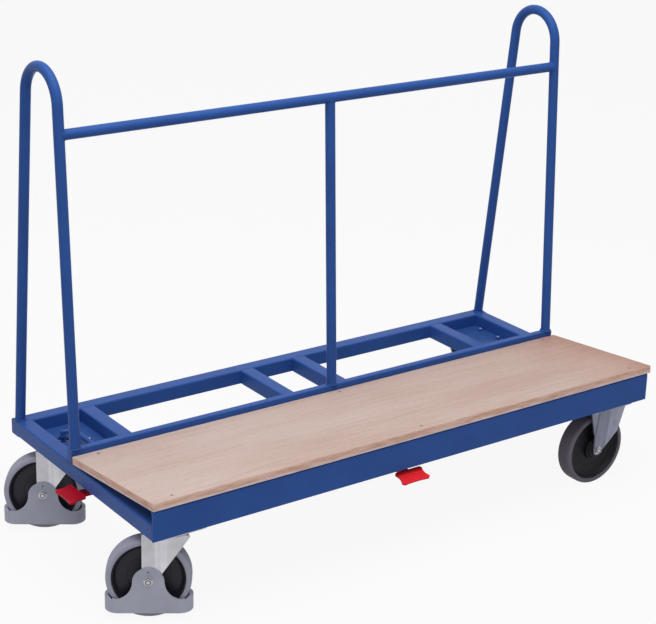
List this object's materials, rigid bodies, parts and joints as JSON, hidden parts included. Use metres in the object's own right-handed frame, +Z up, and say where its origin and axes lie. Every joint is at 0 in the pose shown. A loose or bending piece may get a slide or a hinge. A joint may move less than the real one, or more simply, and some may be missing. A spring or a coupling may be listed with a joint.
{
  "type": "sheet goods cart",
  "caption": "Sheet goods cart: a welded tube base on swivel and fixed casters, a tilted plywood deck, end hoops and a rail that sheets lean on, and a foot brake.",
  "frame": {"origin": "on the floor, under the middle of the whole cart's bounding box", "axes": "+X along the cart from the swivel casters to the fixed casters, +Y from the deck to the back, +Z up"},
  "size_m": [1.6024, 0.737, 1.2208],
  "materials": {
    "blue_paint": "semi-gloss blue powder coat on steel",
    "plywood": "smooth sanded plywood with a clear satin seal",
    "zinc_steel": "bright zinc plate on pressed and turned steel",
    "swivel_tyre": "matt grey elastic tyre",
    "fixed_tyre": "matt dark grey elastic tyre",
    "hub_plastic": "satin black moulded plastic",
    "guard_plastic": "satin grey moulded plastic",
    "red_paint": "glossy red coating on steel"
  },
  "bodies": {
    "cart": {"rear_rail": "blue_paint", "left_end_rail": "blue_paint", "left_outer_cross_rail": "blue_paint", "left_inner_cross_rail": "blue_paint", "right_end_rail": "blue_paint", "right_outer_cross_rail": "blue_paint", "right_inner_cross_rail": "blue_paint", "stop_rail": "blue_paint", "rear_rail_left_cap": "blue_paint", "stop_rail_left_cap": "blue_paint", "rear_rail_right_cap": "blue_paint", "stop_rail_right_cap": "blue_paint", "front_beam": "blue_paint", "deck_board": "plywood", "left_hoop": "blue_paint", "right_hoop": "blue_paint", "top_rail": "blue_paint", "centre_post": "blue_paint", "front_left_pad": "blue_paint", "front_right_pad": "blue_paint", "rear_left_pad": "blue_paint", "rear_right_pad": "blue_paint", "front_swivel_plate": "zinc_steel", "front_kingpin": "zinc_steel", "rear_swivel_plate": "zinc_steel", "rear_kingpin": "zinc_steel", "front_fixed_fork": "zinc_steel", "front_fixed_axle": "zinc_steel", "front_fixed_sleeve": "zinc_steel", "rear_fixed_fork": "zinc_steel", "rear_fixed_axle": "zinc_steel", "rear_fixed_sleeve": "zinc_steel", "front_shaft_bearing": "blue_paint", "rear_shaft_bearing": "blue_paint"},
    "front_swivel": {"front_swivel_fork": "zinc_steel", "front_wheel_guard": "guard_plastic", "front_swivel_axle": "zinc_steel", "front_swivel_sleeve": "zinc_steel"},
    "rear_swivel": {"rear_swivel_fork": "zinc_steel", "rear_wheel_guard": "guard_plastic", "rear_swivel_axle": "zinc_steel", "rear_swivel_sleeve": "zinc_steel"},
    "front_swivel_wheel": {"front_swivel_hub": "hub_plastic", "front_swivel_tyre": "swivel_tyre"},
    "rear_swivel_wheel": {"rear_swivel_hub": "hub_plastic", "rear_swivel_tyre": "swivel_tyre"},
    "front_fixed_wheel": {"front_fixed_hub": "hub_plastic", "front_fixed_tyre": "fixed_tyre"},
    "rear_fixed_wheel": {"rear_fixed_hub": "hub_plastic", "rear_fixed_tyre": "fixed_tyre"},
    "cross_brake": {"brake_cross_shaft": "blue_paint", "end_pedal": "red_paint"},
    "long_brake": {"brake_long_shaft": "blue_paint", "side_pedal": "red_paint"},
    "front_plunger": {"front_brake_plunger": "zinc_steel"},
    "rear_plunger": {"rear_brake_plunger": "zinc_steel"}
  },
  "joints": [
    {"name": "front_swivel_turn", "type": "hinge", "parent": "cart", "child": "front_swivel", "pos_m": [-0.66634, -0.2815, 0.2185], "axis": [0, 0, 1], "continuous": true},
    {"name": "rear_swivel_turn", "type": "hinge", "parent": "cart", "child": "rear_swivel", "pos_m": [-0.66634, 0.2465, 0.2185], "axis": [0, 0, 1], "continuous": true},
    {"name": "front_swivel_roll", "type": "hinge", "parent": "front_swivel", "child": "front_swivel_wheel", "pos_m": [-0.70828, -0.25427, 0.1], "axis": [0.5446, 0.8387, 0], "continuous": true},
    {"name": "rear_swivel_roll", "type": "hinge", "parent": "rear_swivel", "child": "rear_swivel_wheel", "pos_m": [-0.70828, 0.27373, 0.1], "axis": [0.5446, 0.8387, 0], "continuous": true},
    {"name": "front_fixed_roll", "type": "hinge", "parent": "cart", "child": "front_fixed_wheel", "pos_m": [0.65666, -0.2815, 0.1], "axis": [0, 1, 0], "continuous": true},
    {"name": "rear_fixed_roll", "type": "hinge", "parent": "cart", "child": "rear_fixed_wheel", "pos_m": [0.65666, 0.2465, 0.1], "axis": [0, 1, 0], "continuous": true},
    {"name": "brake_press", "type": "hinge", "parent": "cart", "child": "cross_brake", "pos_m": [-0.63634, 0, 0.2563], "axis": [0, -1, 0], "range_deg": [0, 14]},
    {"name": "side_pedal_press", "type": "hinge", "parent": "cart", "child": "long_brake", "pos_m": [0, -0.2865, 0.2563], "axis": [1, 0, 0], "range_deg": [0, 14]},
    {"name": "front_plunger_drop", "type": "slide", "parent": "front_swivel", "child": "front_plunger", "axis": [0, 0, -1], "range_m": [0, 0.00726]},
    {"name": "rear_plunger_drop", "type": "slide", "parent": "rear_swivel", "child": "rear_plunger", "axis": [0, 0, -1], "range_m": [0, 0.00726]}
  ],
  "couplings": [
    {"joint": "side_pedal_press", "follows": "brake_press", "ratio": 1},
    {"joint": "front_plunger_drop", "follows": "brake_press", "m_per_rad": 0.0297},
    {"joint": "rear_plunger_drop", "follows": "brake_press", "m_per_rad": 0.0297}
  ]
}
